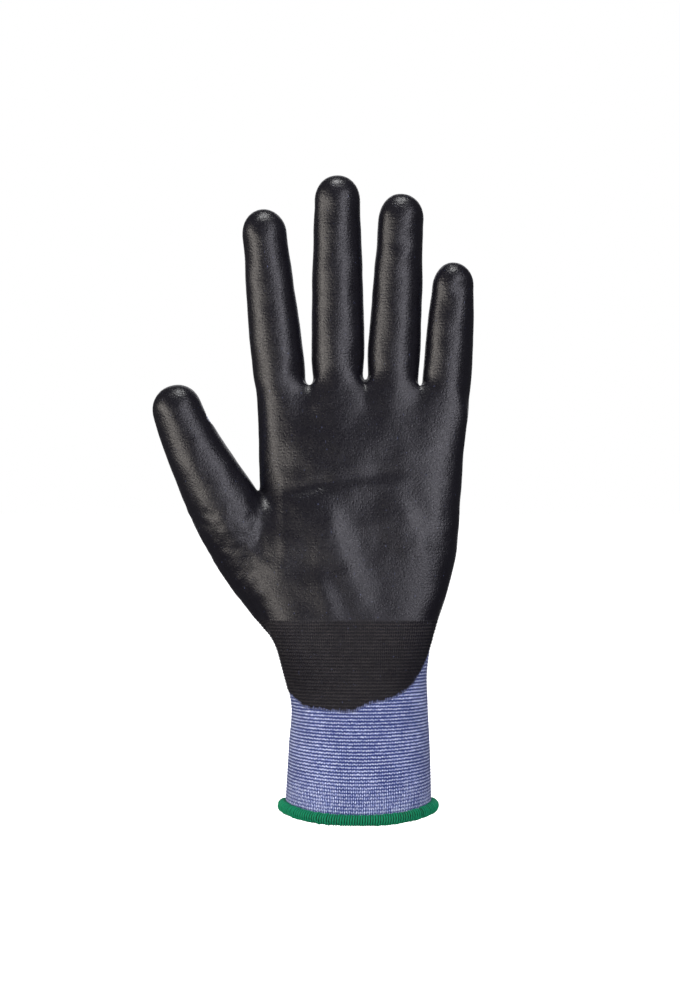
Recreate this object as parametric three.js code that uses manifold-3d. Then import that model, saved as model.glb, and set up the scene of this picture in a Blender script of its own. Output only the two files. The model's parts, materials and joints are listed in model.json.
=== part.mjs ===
// A knitted cut-resistant work glove for the left hand, palm-dipped in polyurethane, in the shape
// that the worn glove has: fingers up along +Z, palm facing -Y, thumb towards -X.
// The origin is the centre of the wrist opening, level with the lowest point of the hem.
// Millimetres throughout.
import * as THREE from "three";
import { mergeVertices } from "three/addons/utils/BufferGeometryUtils.js";
import Module from "manifold-3d";

const wasm = await Module();
wasm.setup();

// ---- driving dimensions ----

const LINER = 1.1; // thickness of the knitted liner
const FILM = 0.5; // thickness of the polyurethane film
const GAP = 0.3; // between the liner and the film, and between any two touching pieces
const SLIT = 0.8; // between two sections of a stall at a knuckle
const LINER_INSET = FILM + GAP; // the liner's outer face, counted in from the glove's outline

const FINGER_DEPTH = 0.93; // a stall's depth as a share of its width
const LEAN = 4.5; // how far a fingertip stands forward of its root
const BURIED = 20; // the part of a stall's axis that lies inside the hand
const BURIED_TAPER = 0.8; // and how far it narrows there
const ROOT_HINGE = 5; // height of the root knuckle above the web
const KNUCKLES = [0.37, 0.67]; // the two other knuckles, as shares of the stall from web to tip
const WRAP_BACK = 0.32; // the film's edge lies this share of the half depth behind the middle
const TIP_DIP = 9; // length of fingertip that the film covers all round
const FILM_CUT = 0.8; // share of a stall's length at which the plane of its film's edge is set
const CAP = 1.02; // length of a fingertip's rounding, as a share of its half width
const BEND_SHARE = 0.45; // a finger's middle, as a share of the way from web to tip
const STALL_SQUARENESS = 2.15; // exponent of a stall's superellipse: 2 is an ellipse
const STALL_RINGS = [0, 0.24, 0.45, 0.64, 0.82]; // of its straight part, as shares of that
const CAP_RINGS = [32, 62]; // degrees round the rounded tip

// Each stall: where its axis leaves the web and where it ends (x, z), and its half widths
// at the web, at the middle and where the tip begins to round.
const FINGERS = [
  { name: "index", web: [-29.8, 171], tip: [-37.4, 237.2], half: [10.5, 9.7, 8.6] },
  { name: "middle", web: [-7.5, 171], tip: [-8.0, 250.3], half: [10.2, 10.1, 9.1] },
  { name: "ring", web: [13.4, 170.5], tip: [17.2, 243.4], half: [10.1, 10.0, 8.9] },
  { name: "little", web: [34.0, 168], tip: [37.2, 216.6], half: [9.4, 9.1, 8.2] },
];

const THUMB_AXIS = [
  [-20, -1, 72],
  [-37.5, -4, 102],
  [-49, -5.5, 119.5],
  [-58.6, -7, 138.6],
  [-66.4, -8, 154.5],
  [-71.4, -8.6, 169.6],
];
const THUMB_HALF = [ // share of the axis, half width, half depth
  [0, 11, 12.5],
  [0.33, 16.2, 15],
  [0.52, 14.6, 13],
  [0.72, 12.3, 10.8],
  [0.9, 9.9, 9.2],
  [1, 9.3, 8.8],
];
const THUMB_ROOT = 0.6; // the thumb's two knuckles, as shares of its axis
const THUMB_TIP_KNUCKLE = 0.775;
const THUMB_CAP = 9.5; // length of its rounded tip
const THUMB_SWING = 16; // degrees that the thumb's bend turns from forward towards the fingers

// The hand and cuff, from hem to web: height, middle, half width and half depth.
const HAND = [
  [2, 0, 28.8, 20],
  [30, 0.4, 27.7, 19],
  [46, 0.4, 26.9, 18.4],
  [57, -1, 28, 18.4],
  [67, -1.8, 29.8, 18.6],
  [78, -1.8, 32.6, 18.2],
  [95, 0, 36, 17.2],
  [112, 0.9, 37.9, 16.2],
  [130, 0.7, 39, 15],
  [152, 1.4, 40.2, 12.8],
  [169, 2, 41, 10],
];
const HAND_TOP = 173;
const HAND_SIDE_TOP = 166; // its section is full up to here
const HAND_SHOULDER = [0.9, 171]; // share of the section, and height, where the top closes over
const HAND_SQUARENESS = 2.45;
const BELOW_HEM = -5; // a cavity starts this low, to run out through the opening

const CUFF_TOP = 43; // the rigid part of the cuff ends here
const PALM_BOTTOM = 67; // and the palm begins here: the ribs between them bend
const WRIST_HINGE = 55;
const SIDE_RISE = 3.4; // the hem stands this much higher at its sides than at palm and back
const RISE_FADE = 36; // height at which that rise has died away
const HEM_RADIUS = 2.3; // of the overlocked edge roll
const HEM_CENTRE = 2.3;
const HEM_MOUTH = [118, 304]; // degrees where the roll's slot opens, and swept round from there
const HEM_FACETS = 8;
const SLOT_FLOOR = -0.2; // of the hem's slot, from its centre
const AROUND_HAND = 28; // facets round the hand and the hem
const AROUND_STALL = 14;
const FILM_EDGE_BACK = 5; // how far behind the middle the film's edge runs on the hand
const FILM_SHEET = { left: -90, right: 60, top: 200, front: 60 }; // a sheet larger than the glove
const FILM_EDGE_LEFT = [[-90, 54], [-27, 51]]; // the film's lower edge (x, z): straight here,
const FILM_EDGE_CURVES = [ // and curved from there on
  [-16, 44, 2, 41.5, 14, 47],
  [22, 51, 27, 60, 31, 76],
];

// clear counts how far the yarn's middle lies inside the liner, in its own radii.
const YARN = { radius: 0.45, turns: 6, bottom: 9, top: 39, stepsPerTurn: 18, clear: 1.6 };

// ---- materials ----

const knit = new THREE.MeshStandardMaterial({ color: 0x7884c4, roughness: 0.9, metalness: 0 });
const film = new THREE.MeshStandardMaterial({ color: 0x1c1c20, roughness: 0.5, metalness: 0 });
const thread = new THREE.MeshStandardMaterial({ color: 0x0d8a57, roughness: 0.7, metalness: 0 });
const rubber = new THREE.MeshStandardMaterial({ color: 0xd9d9e0, roughness: 0.6, metalness: 0 });

// ---- shapes ----

// Reads a table of [position, value, value...] rows between its rows.
function read(table, at) {
  const past = table.findIndex(([position]) => position > at);
  const above = past < 0 ? table.length - 1 : Math.max(past, 1);
  const [low, high] = [table[above - 1], table[above]];
  const t = THREE.MathUtils.clamp((at - low[0]) / (high[0] - low[0]), 0, 1);
  return low.slice(1).map((value, k) => THREE.MathUtils.lerp(value, high[k + 1], t));
}

// How much higher the cuff's rings stand at a side than at palm and back, where s is the sine of
// the angle round it.
function rise(s, z) {
  return SIDE_RISE * s * s * (1 - THREE.MathUtils.smoothstep(z, 0, RISE_FADE));
}

// A point of the hand's or cuff's section at a height, moved out by so much. radius takes it in
// towards the middle, as a share of the whole.
function onHand(z, s, c, out, radius = 1) {
  const [middle, width, depth] = read(HAND, z);
  return new THREE.Vector3(
    middle + (width + out) * radius * rounded(s, HAND_SQUARENESS),
    -(depth + out) * radius * rounded(c, HAND_SQUARENESS),
    z + rise(s, z),
  );
}

// A stall: a curved axis with a section that changes along it. across is its width's direction,
// front the side that faces the way the palm does.
class Stall {
  constructor(name, axis, halves, capLength) {
    this.name = name;
    this.axis = axis;
    this.halves = halves;
    this.length = axis.getLength();
    this.capLength = capLength;
  }

  frame(share) {
    const along = this.axis.getTangentAt(share);
    const across = new THREE.Vector3(0, 1, 0).cross(along).normalize();
    return { at: this.axis.getPointAt(share), along, across, front: across.clone().cross(along) };
  }

  half(share) {
    return read(this.halves, share);
  }

  // The closed solid of the stall, taken in by inset all round.
  solid(inset) {
    const capShare = this.capLength / this.length;
    const straight = 1 - capShare;
    const profile = [[0, 0], ...STALL_RINGS.map((ring) => [1, ring * straight]), [1, straight]];
    for (const degrees of CAP_RINGS) {
      const angle = THREE.MathUtils.degToRad(degrees);
      profile.push([Math.cos(angle), straight + capShare * Math.sin(angle)]);
    }
    profile.push([0, 1]);
    return lofted(profile, AROUND_STALL, (share, radius, s, c) => {
      const intoCap = Math.max(share - straight, 0) / capShare;
      const { at, across, front } = this.frame(Math.min(share - (intoCap * inset) / this.length, 1));
      const [width, depth] = this.half(Math.min(share, 1));
      return at
        .addScaledVector(across, (width - inset) * radius * rounded(s, STALL_SQUARENESS))
        .addScaledVector(front, (depth - inset) * radius * rounded(c, STALL_SQUARENESS));
    });
  }

  // A plane across the stall, and the point on the outline that the bend turns about.
  knuckle(share, swing = 0) {
    const { at, along, front } = this.frame(share);
    const [width, depth] = this.half(share);
    const turn = THREE.MathUtils.degToRad(swing);
    const bend = front.clone().applyAxisAngle(along, turn);
    const reach = 1 / Math.hypot(Math.cos(turn) / depth, Math.sin(turn) / width);
    return {
      normal: along,
      middle: at.clone(),
      pivot: at.clone().addScaledVector(bend, reach),
      hinge: bend.clone().cross(along).negate(),
    };
  }
}

// A sine or cosine taken to the matching coordinate of a superellipse.
function rounded(value, squareness) {
  return Math.sign(value) * Math.abs(value) ** (2 / squareness);
}

// A lathe of unit radius whose points are then put where place says.
function lofted(profile, sides, place) {
  const lathe = new THREE.LatheGeometry(profile.map(([r, t]) => new THREE.Vector2(r, t)), sides);
  const position = lathe.getAttribute("position");
  for (let i = 0; i < position.count; i++) {
    const [x, share, z] = [position.getX(i), position.getY(i), position.getZ(i)];
    const radius = Math.hypot(x, z);
    const [s, c] = radius > 1e-6 ? [x / radius, z / radius] : [0, 0];
    const p = place(share, radius, s, c);
    position.setXYZ(i, p.x, p.y, p.z);
  }
  return solidOf(lathe);
}

// The hand, wrist and cuff in one, from the hem to the webs, taken in by inset.
function handSolid(inset, bottom = HAND[0][0]) {
  const heights = [bottom, ...HAND.slice(1, -1).map(([z]) => z), HAND_SIDE_TOP];
  const [shoulder, shoulderTop] = HAND_SHOULDER;
  const profile = [[0, bottom], ...heights.map((z) => [1, z])];
  profile.push([shoulder, shoulderTop - inset], [0, HAND_TOP - inset]);
  return lofted(profile, AROUND_HAND, (z, radius, s, c) => onHand(z, s, c, -inset, radius));
}

function solidOf(geometry) {
  geometry.deleteAttribute("normal");
  geometry.deleteAttribute("uv");
  const merged = mergeVertices(geometry, 1e-3);
  return new wasm.Manifold(
    new wasm.Mesh({
      numProp: 3,
      vertProperties: new Float32Array(merged.attributes.position.array),
      triVerts: new Uint32Array(merged.index.array),
    }),
  );
}

function union(solids) {
  return solids.reduce((sum, solid) => sum.add(solid));
}

// What lies on the side of a plane that its normal points to, and a share of a slit away from it.
function beyond(solid, point, normal, away = SLIT / 2) {
  return solid.trimByPlane(normal.toArray(), point.dot(normal) + away);
}

function before(solid, point, normal, away = SLIT / 2) {
  return beyond(solid, point, normal.clone().negate(), away);
}

// ---- the stalls ----

function fingerStall({ name, web, tip, half }) {
  const start = new THREE.Vector3(web[0], 0, web[1]);
  const end = new THREE.Vector3(tip[0], -LEAN, tip[1]);
  const down = start.clone().sub(end).setY(0).normalize();
  const root = start.clone().addScaledVector(down, BURIED);
  const middle = start.clone().lerp(end, BEND_SHARE).setY(0);
  const axis = new THREE.QuadraticBezierCurve3(root, middle, end);
  const webShare = BURIED / axis.getLength();
  const at = (share) => webShare + (1 - webShare) * share;
  const capLength = half[2] * CAP;
  const rows = [
    [0, half[0] * BURIED_TAPER],
    [at(0), half[0]],
    [at(BEND_SHARE), half[1]],
    [1 - capLength / axis.getLength(), half[2]],
    [1, half[2]],
  ].map(([share, width]) => [share, width, width * FINGER_DEPTH]);
  const stall = new Stall(name, axis, rows, capLength);
  stall.at = at;
  return stall;
}

const fingers = FINGERS.map(fingerStall);
const thumbAxis = new THREE.CatmullRomCurve3(THUMB_AXIS.map((p) => new THREE.Vector3(...p)));
const thumb = new Stall("thumb", thumbAxis, THUMB_HALF, THUMB_CAP);
const thumbKnuckles = [THUMB_ROOT, THUMB_TIP_KNUCKLE].map((at) => thumb.knuckle(at, THUMB_SWING));

// The knuckles of a stall, from its root. A finger's root knuckle is level, so that all four
// fingers close side by side.
function fingerKnuckles(stall) {
  const rootShare = stall.at(ROOT_HINGE / (stall.length - BURIED));
  const root = stall.knuckle(rootShare);
  root.normal = new THREE.Vector3(0, 0, 1);
  root.hinge = new THREE.Vector3(1, 0, 0);
  return [root, ...KNUCKLES.map((share) => stall.knuckle(stall.at(share)))];
}

const stalls = [
  { stall: thumb, knuckles: thumbKnuckles },
  ...fingers.map((stall) => ({ stall, knuckles: fingerKnuckles(stall) })),
];
const SECTIONS = { 2: ["proximal", "distal"], 3: ["proximal", "middle", "distal"] };

// ---- the liner and the film as whole shells, then cut into what moves apart ----

const whole = new Map();
function wholeStall(stall, inset) {
  const key = stall.name + inset;
  if (!whole.has(key)) whole.set(key, stall.solid(inset));
  return whole.get(key);
}

// The hand with the roots of its stalls. Inside, the roots run on, so that the stalls open into it.
function handWithRoots(inset, rootsRunOn, bottom) {
  const roots = stalls.map(({ stall, knuckles }) => {
    const solid = wholeStall(stall, inset);
    return rootsRunOn ? solid : before(solid, knuckles[0].middle, knuckles[0].normal);
  });
  return union([handSolid(inset, bottom), ...roots]);
}

const level = new THREE.Vector3(0, 0, 1);
const atHeight = (z) => new THREE.Vector3(0, 0, z);
const cavity = (inset) => handWithRoots(inset, true, BELOW_HEM);
const linerHand = handWithRoots(LINER_INSET, false).subtract(cavity(LINER_INSET + LINER));
const filmHand = handWithRoots(0, false).subtract(cavity(FILM));

// The film's lower edge sweeps over the wrist: low on the palm side's middle, and high at the
// little finger.
function filmReach() {
  const { left, right, top, front } = FILM_SHEET;
  const edge = new THREE.Shape();
  edge.moveTo(...FILM_EDGE_LEFT[0]);
  edge.lineTo(...FILM_EDGE_LEFT[1]);
  for (const curve of FILM_EDGE_CURVES) edge.bezierCurveTo(...curve);
  edge.lineTo(right, edge.currentPoint.y);
  edge.lineTo(right, top);
  edge.lineTo(left, top);
  edge.closePath();
  const depth = front + FILM_EDGE_BACK;
  const sheet = new THREE.ExtrudeGeometry(edge, { depth, bevelEnabled: false, curveSegments: 8 });
  sheet.rotateX(Math.PI / 2); // the outline's height becomes Z, and its depth runs towards -Y
  sheet.translate(0, FILM_EDGE_BACK, 0);
  return solidOf(sheet);
}

const filmOnHand = filmHand.intersect(filmReach());

function between(solid, bottom, top) {
  return before(beyond(solid, atHeight(bottom), level, GAP / 2), atHeight(top), level, GAP / 2);
}

// One section of a stall's liner or film, from a knuckle to the next or to the tip.
function section(shell, from, to) {
  const upper = beyond(shell, from.middle, from.normal);
  return to ? before(upper, to.middle, to.normal) : upper;
}

// The film leaves the back of a stall bare, except round the fingertip.
function filmOnStall(stall) {
  const shell = wholeStall(stall, 0).subtract(wholeStall(stall, FILM));
  const { at, front } = stall.frame(FILM_CUT);
  const [, depth] = stall.half(FILM_CUT);
  const palmSide = beyond(shell, at.clone().addScaledVector(front, -WRAP_BACK * depth), front, 0);
  const tip = stall.frame(1 - TIP_DIP / stall.length);
  return palmSide.add(beyond(shell, tip.at, tip.along, 0));
}

// ---- the hem and the elastic yarn of the cuff ----

// A ring round the cuff at its own outline, given each point's height and how far out it stands.
function cuffPath(height, out, turns, steps, climb = 0) {
  const points = [];
  for (let i = 0; i <= steps; i++) {
    const angle = (2 * Math.PI * turns * i) / steps;
    const [s, c] = [Math.sin(angle), Math.cos(angle)];
    points.push(onHand(height + (climb * i) / steps, s, c, out));
  }
  return points;
}

// The overlocked edge: a roll with a slot that holds the cuff's raw edge.
function hem() {
  const middle = -LINER_INSET - LINER / 2; // of the liner's thickness
  const slot = LINER / 2 + GAP;
  const section = [];
  const [from, sweep] = HEM_MOUTH;
  for (let i = 0; i <= HEM_FACETS; i++) {
    const angle = THREE.MathUtils.degToRad(from + (sweep * i) / HEM_FACETS);
    section.push([HEM_RADIUS * Math.cos(angle), HEM_RADIUS * Math.sin(angle)]);
  }
  section.push([slot, SLOT_FLOOR], [-slot, SLOT_FLOOR]);
  const sides = AROUND_HAND;
  const rings = section.map(([out, up]) =>
    cuffPath(HEM_CENTRE, middle + out, 1, sides).map((p) => p.setZ(p.z + up)),
  );
  const positions = [];
  const index = [];
  for (let j = 0; j < sides; j++) rings.forEach((ring) => positions.push(...ring[j].toArray()));
  const n = section.length;
  for (let j = 0; j < sides; j++)
    for (let k = 0; k < n; k++) {
      const [a, b] = [j * n + k, j * n + ((k + 1) % n)];
      const [c, d] = [((j + 1) % sides) * n + k, ((j + 1) % sides) * n + ((k + 1) % n)];
      index.push(a, c, b, b, c, d);
    }
  const geometry = new THREE.BufferGeometry();
  geometry.setAttribute("position", new THREE.Float32BufferAttribute(positions, 3));
  geometry.setIndex(index);
  return solidOf(geometry);
}

// Covered rubber yarn, laid round and round inside the cuff.
function elasticYarn() {
  const steps = YARN.turns * YARN.stepsPerTurn;
  const inside = -LINER_INSET - LINER - GAP - YARN.radius * YARN.clear;
  const climb = YARN.top - YARN.bottom;
  const path = new THREE.CatmullRomCurve3(cuffPath(YARN.bottom, inside, YARN.turns, steps, climb));
  const section = new THREE.Shape();
  section.absarc(0, 0, YARN.radius, 0, 2 * Math.PI);
  const coil = new THREE.ExtrudeGeometry(section, { steps, extrudePath: path, curveSegments: 2 });
  return solidOf(coil);
}

// ---- the scene graph: each section hangs from the one that it moves with ----

function group(pivot, parent, parentPivot, hinge) {
  const made = new THREE.Group();
  made.position.copy(pivot).sub(parentPivot);
  made.userData = { hinge: hinge?.toArray(), pivot: pivot.toArray() };
  parent.add(made);
  return made;
}

function add(parent, pivot, name, solid, material) {
  const mesh = solid.getMesh();
  const geometry = new THREE.BufferGeometry();
  geometry.setAttribute("position", new THREE.BufferAttribute(mesh.vertProperties, 3));
  geometry.setIndex(new THREE.BufferAttribute(mesh.triVerts, 1));
  geometry.translate(-pivot.x, -pivot.y, -pivot.z);
  geometry.computeVertexNormals();
  const made = new THREE.Mesh(geometry, material);
  made.name = name;
  parent.add(made);
}

const origin = new THREE.Vector3();
const glove = new THREE.Group();
const cuffEdge = HEM_CENTRE + SLOT_FLOOR + GAP; // the raw edge stands in the hem's slot
const cuffInside = handSolid(LINER_INSET + LINER, BELOW_HEM);
const cuff = handSolid(LINER_INSET, cuffEdge).subtract(cuffInside);
add(glove, origin, "hem_overlock", hem(), thread);
add(glove, origin, "cuff_elastic_yarn", elasticYarn(), rubber);
add(glove, origin, "cuff_liner", before(cuff, atHeight(CUFF_TOP), level, GAP / 2), knit);
add(glove, origin, "wrist_liner", between(linerHand, CUFF_TOP, PALM_BOTTOM), knit);
add(glove, origin, "wrist_coating", between(filmOnHand, CUFF_TOP, PALM_BOTTOM), film);

const wrist = atHeight(WRIST_HINGE);
const palm = group(wrist, glove, origin, new THREE.Vector3(1, 0, 0));
const palmFloor = atHeight(PALM_BOTTOM);
add(palm, wrist, "palm_liner", beyond(linerHand, palmFloor, level, GAP / 2), knit);
add(palm, wrist, "palm_coating", beyond(filmOnHand, palmFloor, level, GAP / 2), film);

for (const { stall, knuckles } of stalls) {
  const liner = wholeStall(stall, LINER_INSET).subtract(wholeStall(stall, LINER_INSET + LINER));
  const coating = filmOnStall(stall);
  let [parent, pivot] = [palm, wrist];
  knuckles.forEach((knuckle, i) => {
    parent = group(knuckle.pivot, parent, pivot, knuckle.hinge);
    pivot = knuckle.pivot;
    const place = `${stall.name}_${SECTIONS[knuckles.length][i]}`;
    add(parent, pivot, `${place}_liner`, section(liner, knuckle, knuckles[i + 1]), knit);
    add(parent, pivot, `${place}_coating`, section(coating, knuckle, knuckles[i + 1]), film);
  });
}

export default glove;
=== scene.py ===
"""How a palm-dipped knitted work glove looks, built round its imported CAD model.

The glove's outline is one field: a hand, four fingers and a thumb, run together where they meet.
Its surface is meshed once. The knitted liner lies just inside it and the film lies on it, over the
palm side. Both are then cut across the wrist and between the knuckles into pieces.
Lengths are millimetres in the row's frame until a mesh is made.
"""

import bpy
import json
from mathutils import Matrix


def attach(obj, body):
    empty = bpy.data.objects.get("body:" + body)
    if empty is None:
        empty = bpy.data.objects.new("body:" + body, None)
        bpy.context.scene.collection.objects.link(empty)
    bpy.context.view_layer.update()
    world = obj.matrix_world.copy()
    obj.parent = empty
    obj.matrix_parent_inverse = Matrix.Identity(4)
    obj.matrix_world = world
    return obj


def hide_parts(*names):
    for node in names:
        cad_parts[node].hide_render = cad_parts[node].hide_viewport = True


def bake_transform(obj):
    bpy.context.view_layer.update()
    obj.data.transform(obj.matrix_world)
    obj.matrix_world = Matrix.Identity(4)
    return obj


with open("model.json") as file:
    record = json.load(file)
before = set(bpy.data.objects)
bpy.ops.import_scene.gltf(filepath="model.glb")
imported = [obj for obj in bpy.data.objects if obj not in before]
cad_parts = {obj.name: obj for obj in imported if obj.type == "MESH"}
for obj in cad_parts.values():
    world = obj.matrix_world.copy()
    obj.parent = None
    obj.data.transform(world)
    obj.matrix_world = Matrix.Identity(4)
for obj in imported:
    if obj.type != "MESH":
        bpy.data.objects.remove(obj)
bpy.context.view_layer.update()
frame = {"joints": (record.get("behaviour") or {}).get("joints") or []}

import json
import math

import bpy
import numpy as np
import openvdb
from mathutils import Vector

METRE = 1000.0  # millimetres in Blender's unit

# ---- driving dimensions, the CAD model's own where it has them ----

FINGERS = {  # where each stall leaves the web and ends (x, z), and its half widths up its length
    "index": {"web": (-30.4, 171), "tip": (-37.4, 237.2), "half": (9.9, 9.6, 8.5)},
    "middle": {"web": (-7.9, 171), "tip": (-8.2, 250.3), "half": (9.6, 9.9, 8.8)},
    "ring": {"web": (13.4, 170.5), "tip": (17.0, 243.1), "half": (9.7, 9.7, 8.7)},
    "little": {"web": (34.2, 168), "tip": (37.4, 216.2), "half": (9.3, 9.1, 8.1)},
}
FINGER_DEPTH = 0.93  # a stall's depth as a share of its width
LEAN = 4.5  # how far a fingertip stands forward of its root
BURIED = 28  # the part of a stall's axis that lies inside the hand
BURIED_TAPER = 0.55  # and how far it narrows there
FINGER_CAP = 1.2  # length of a fingertip's rounding, as a share of its half width
BEND_SHARE = 0.45  # a finger's middle, as a share of the way from web to tip
WEB_RISE = 1.3  # how far above the web a finger's own pieces begin
STALL_SQUARENESS = 2.15

THUMB_AXIS = [
    (-20, -1, 72),
    (-38.2, -2, 102),
    (-50, -4.8, 119.5),
    (-60.2, -7, 138.3),
    (-67.7, -8, 153.8),
    (-72.4, -8.6, 168.6),
]
THUMB_HALF = [  # share of the axis, half width, half depth
    (0, 11, 9.5),
    (0.33, 15.8, 12.2),
    (0.52, 14, 12.2),
    (0.72, 11.7, 10.8),
    (0.9, 9.6, 9.2),
    (1, 9.0, 8.8),
]
THUMB_CAP = 9.5
THUMB_WEB = 58.0  # how far along its axis the thumb comes clear of the hand
THUMB_BEND = 63.5  # and where it begins to bend, past the skin of its fork
FORK = ((-38.4, 128.6), (-52.0, 175.0))  # between thumb and hand (x, z), up from their crotch
FORK_MARGIN = 1.0  # how far past that line a thumb's pieces may reach

HAND = [  # height, middle, half width, half depth
    (-12, 0, 29.1, 20.2),
    (2, 0, 28.8, 20),
    (30, 0.4, 27.7, 19),
    (46, 0.4, 26.9, 18.4),
    (57, -1, 28, 18.4),
    (67, -1.8, 29.8, 18.6),
    (78, -1.8, 32.6, 18.2),
    (95, 0, 36, 17.2),
    (112, 0.9, 37.9, 16.2),
    (130, 0.7, 39, 15),
    (152, 1.4, 40.2, 12.4),
    (170, 2, 41, 8.9),
    (190, 2, 41, 7.5),
]
HAND_TOP = [(-46, 166.5), (-19, 169), (3, 170.6), (24, 168), (46, 162)]  # x, height
HAND_SQUARENESS = 2.45
LEFT_SQUARENESS = (4.4, 2.2)  # of the palm's left side, low down and up by the index finger
RIGHT_SQUARENESS = 4.4  # the film keeps the palm flatter than the back
PALM_FLATTENS = (50, 76)  # heights over which the cuff's oval becomes a squarer palm
PALM_SIDE = (2, -4)  # y from which the palm side counts, and where it counts in full
LEFT_CHANGES = (104, 132)  # heights over which LEFT_SQUARENESS goes from one to the other
LEFT_TO_RIGHT = (-12, 12)  # x over which the left side's squareness gives way to the right's
TOP_ROUNDING = 9.0  # of the hand's top edge, between the fingers
SIDE_RISE = 3.4  # the hem stands this much higher at its sides than at palm and back
RISE_ROUND = (28, 20)  # the cuff's half width and half depth, for that rise
RISE_FADE = 62
HEM_CENTRE = 2.8
HEM_RADIUS = 2.3
HEM_OUT = 0.3  # how far outside the cuff's outline the roll's middle lies
THREAD = 0.37  # radius of the overlock thread
THREAD_PITCH = 0.92
THREAD_SIDES = 6
YARN = {"radius": 0.45, "turns": 6, "bottom": 9, "top": 39}
YARN_INSET = 1.3  # how far the yarn's middle lies inside the liner, in its own radii
RING_STEPS = 72  # points to a turn of yarn

FINGER_BLEND = (3.4, 7.4)  # how softly hand and fingers join: at the webs, and at palm and back
WEB_TO_PALM = (3, 9)  # y, to either side, over which the first becomes the second
THUMB_BLEND = (2.5, 9.5)  # and hand and thumb: a tight fork, and a soft run into the palm
FORK_TO_PALM = (-4, -14)  # y over which the first becomes the second
HAND_ENDS = 188.0  # above this no hand is left to join, and below FINGERS_BEGIN no finger
FINGERS_BEGIN = 128.0
THUMB_ROOM = (12.0, 45.0, 192.0)  # the thumb lies to the left of this x, between these heights

FILM = 0.35  # the film over the liner
WALL = 1.3  # the liner
COURSE = 1.3  # height of a pair of courses, one dark and one light
WALES = 115  # stitches round the hand
STALL_WALE = 1.4  # width of a stitch on the thumb and fingers
FINGERS_FROM = 173.0  # above this the stitches run round each finger
RIDGE = 0.11  # how far a course stands out, to each side of the middle
CUFF_LINE = 78.5  # above this the film is thick enough to hide the courses
FILM_BACK = 5.0  # how far behind the middle the film's edge runs on the hand
WRAP_BACK = 0.32  # and on a stall, as a share of its half depth
TIP_DIP = 10.0  # length of fingertip that the film covers all round
FILM_LIFT = 0.03  # what keeps the film's edge clear of the liner
FILM_FEATHER = 1.6  # width of the edge over which it comes to its full thickness
FILM_HIDES = 0.9  # the share of the courses' relief that it fills, above the cuff line
EDGE_WANDER = [(0.7, 16, 3), (0.35, 4, 4)]  # height, wavelength and seed
LOWER_WANDER = 0.4  # how much of it the lower edge has
FINGER_EDGE = (160, 180)  # heights over which the palm's edge gives way to the fingers'
THUMB_EDGE = (-5, 3)  # how much nearer the thumb than the hand, for its edge to take over
BARE_PATCH = {"depth": 5.5, "below_tip": 17, "half_height": 5, "across": (2, 6)}
EDGE_CORNER = 9.0  # how softly the film's side edge turns into its lower edge

# The film's lower edge on the palm side (x, z). It sweeps up at the little finger.
LOWER_EDGE = [
    *((-40, 51), (-26, 49.2), (-22, 45.9), (-14, 44.6), (0, 44.6), (4, 46.4), (11, 48)),
    *((16.5, 50.5), (21.5, 54.8), (24.6, 60), (27.3, 66), (29.5, 72), (34, 80), (50, 92)),
]
# Folds in the film's palm side. Each runs up from one point to another (x, z) and stands out so
# far, or sinks in where its height is negative. It is so wide to its left and to its right.
FOLDS = [
    ((-32, 125.5), (-6, 133), 3.6, 2.6, -0.75),
    ((-13, 132), (22, 135.5), 3.6, 2.6, -0.6),
    ((3, 77), (-17.5, 133), 11, 5.5, 1.6),
    ((28.5, 96), (12, 130), 10, 4.5, 0.8),
    ((-7, 75), (-18.5, 101), 7, 3.5, 0.8),
    ((-37, 100), (-38.5, 134), 3.0, 3.0, -0.7),
    ((-27.5, 92), (-28.5, 138), 3.5, 14, 1.0),
]

DIMPLES = [  # soft dents on the stalls' palm side: x, z, half width, half height, depth
    (17.8, 224, 5.5, 3.2, 0.5),
    (39.5, 206.5, 4.5, 3.0, 0.8),
    (33.5, 199, 3.0, 5.0, 0.25),
    (-42, 214, 3.5, 6.0, 0.4),
    (-12.5, 238, 3.0, 5.0, 0.25),
    (10, 214, 2.6, 9.0, 0.2),
]

LUMPS = [(0.12, 15, 1), (0.035, 7, 2)]  # height, wavelength and seed
THUMB_BASE_LUMPS = [(0.08, 5, 5)]
LUMPS_BEGIN = (40, 90)  # heights over which they grow from nothing

CELL = (0.9, 0.9, COURSE / 4)  # the surface's mesh: fine up the hand, to carry the courses
INNER_CELL = (2.0, 2.0, 2.0)
GRID_LOW = np.array([-83.0, -25.0, -1.0])
GRID_HIGH = np.array([49.0, 25.0, 256.0])
POINTS_AT_ONCE = 400_000  # to save memory
FAR = 6.0  # the field's value away from the surface

WRIST_BEND = (34.0, 81.0)  # heights between which the wrist bends
ROOT_BEND_EXTRA = 1.2  # more for a finger's root to bend over, as it has no room below
LONGEST_BEND = 10.0  # to each side of a knuckle
BEND_MARGIN = 0.5  # what stays still at each end of a piece that bends all along
KNUCKLE_MARGIN = 0.4  # and of one that bends at its knuckle

# Colours as they are seen, from 0 to 255. A pair is mixed by noise.
FILM_BLACK = ((13, 12, 18), (21, 20, 27))
# partly the film worn thin over the light courses, partly a painted highlight: a warm grey laid
# along the crests of the cuff's courses
CREST_WEAR_AND_HIGHLIGHT = (48, 45, 47)
YARN_IN_FILM = (122, 132, 180)
DARK_YARN = ((20, 32, 84), (58, 72, 132))
LIGHT_YARN = ((146, 158, 212), (218, 226, 255))
GREEN_THREAD = ((0, 106, 70), (10, 146, 102))
# painted shade: the dark green the thread turns to where it sinks between its wraps and onto the
# core
GROOVE_SHADE_GREEN = (0, 52, 34)
YARN_COVER = ((196, 198, 214), (232, 232, 240))
FILM_GLOSS = (0.39, 0.5)  # low on the palm, and further up
FILM_GLOSS_RISES = (80, 118)
CUFF_GLOSS = 0.2
HEM_GLOW = (26, 4)  # heights over which the knit looks lighter towards the hem

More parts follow.
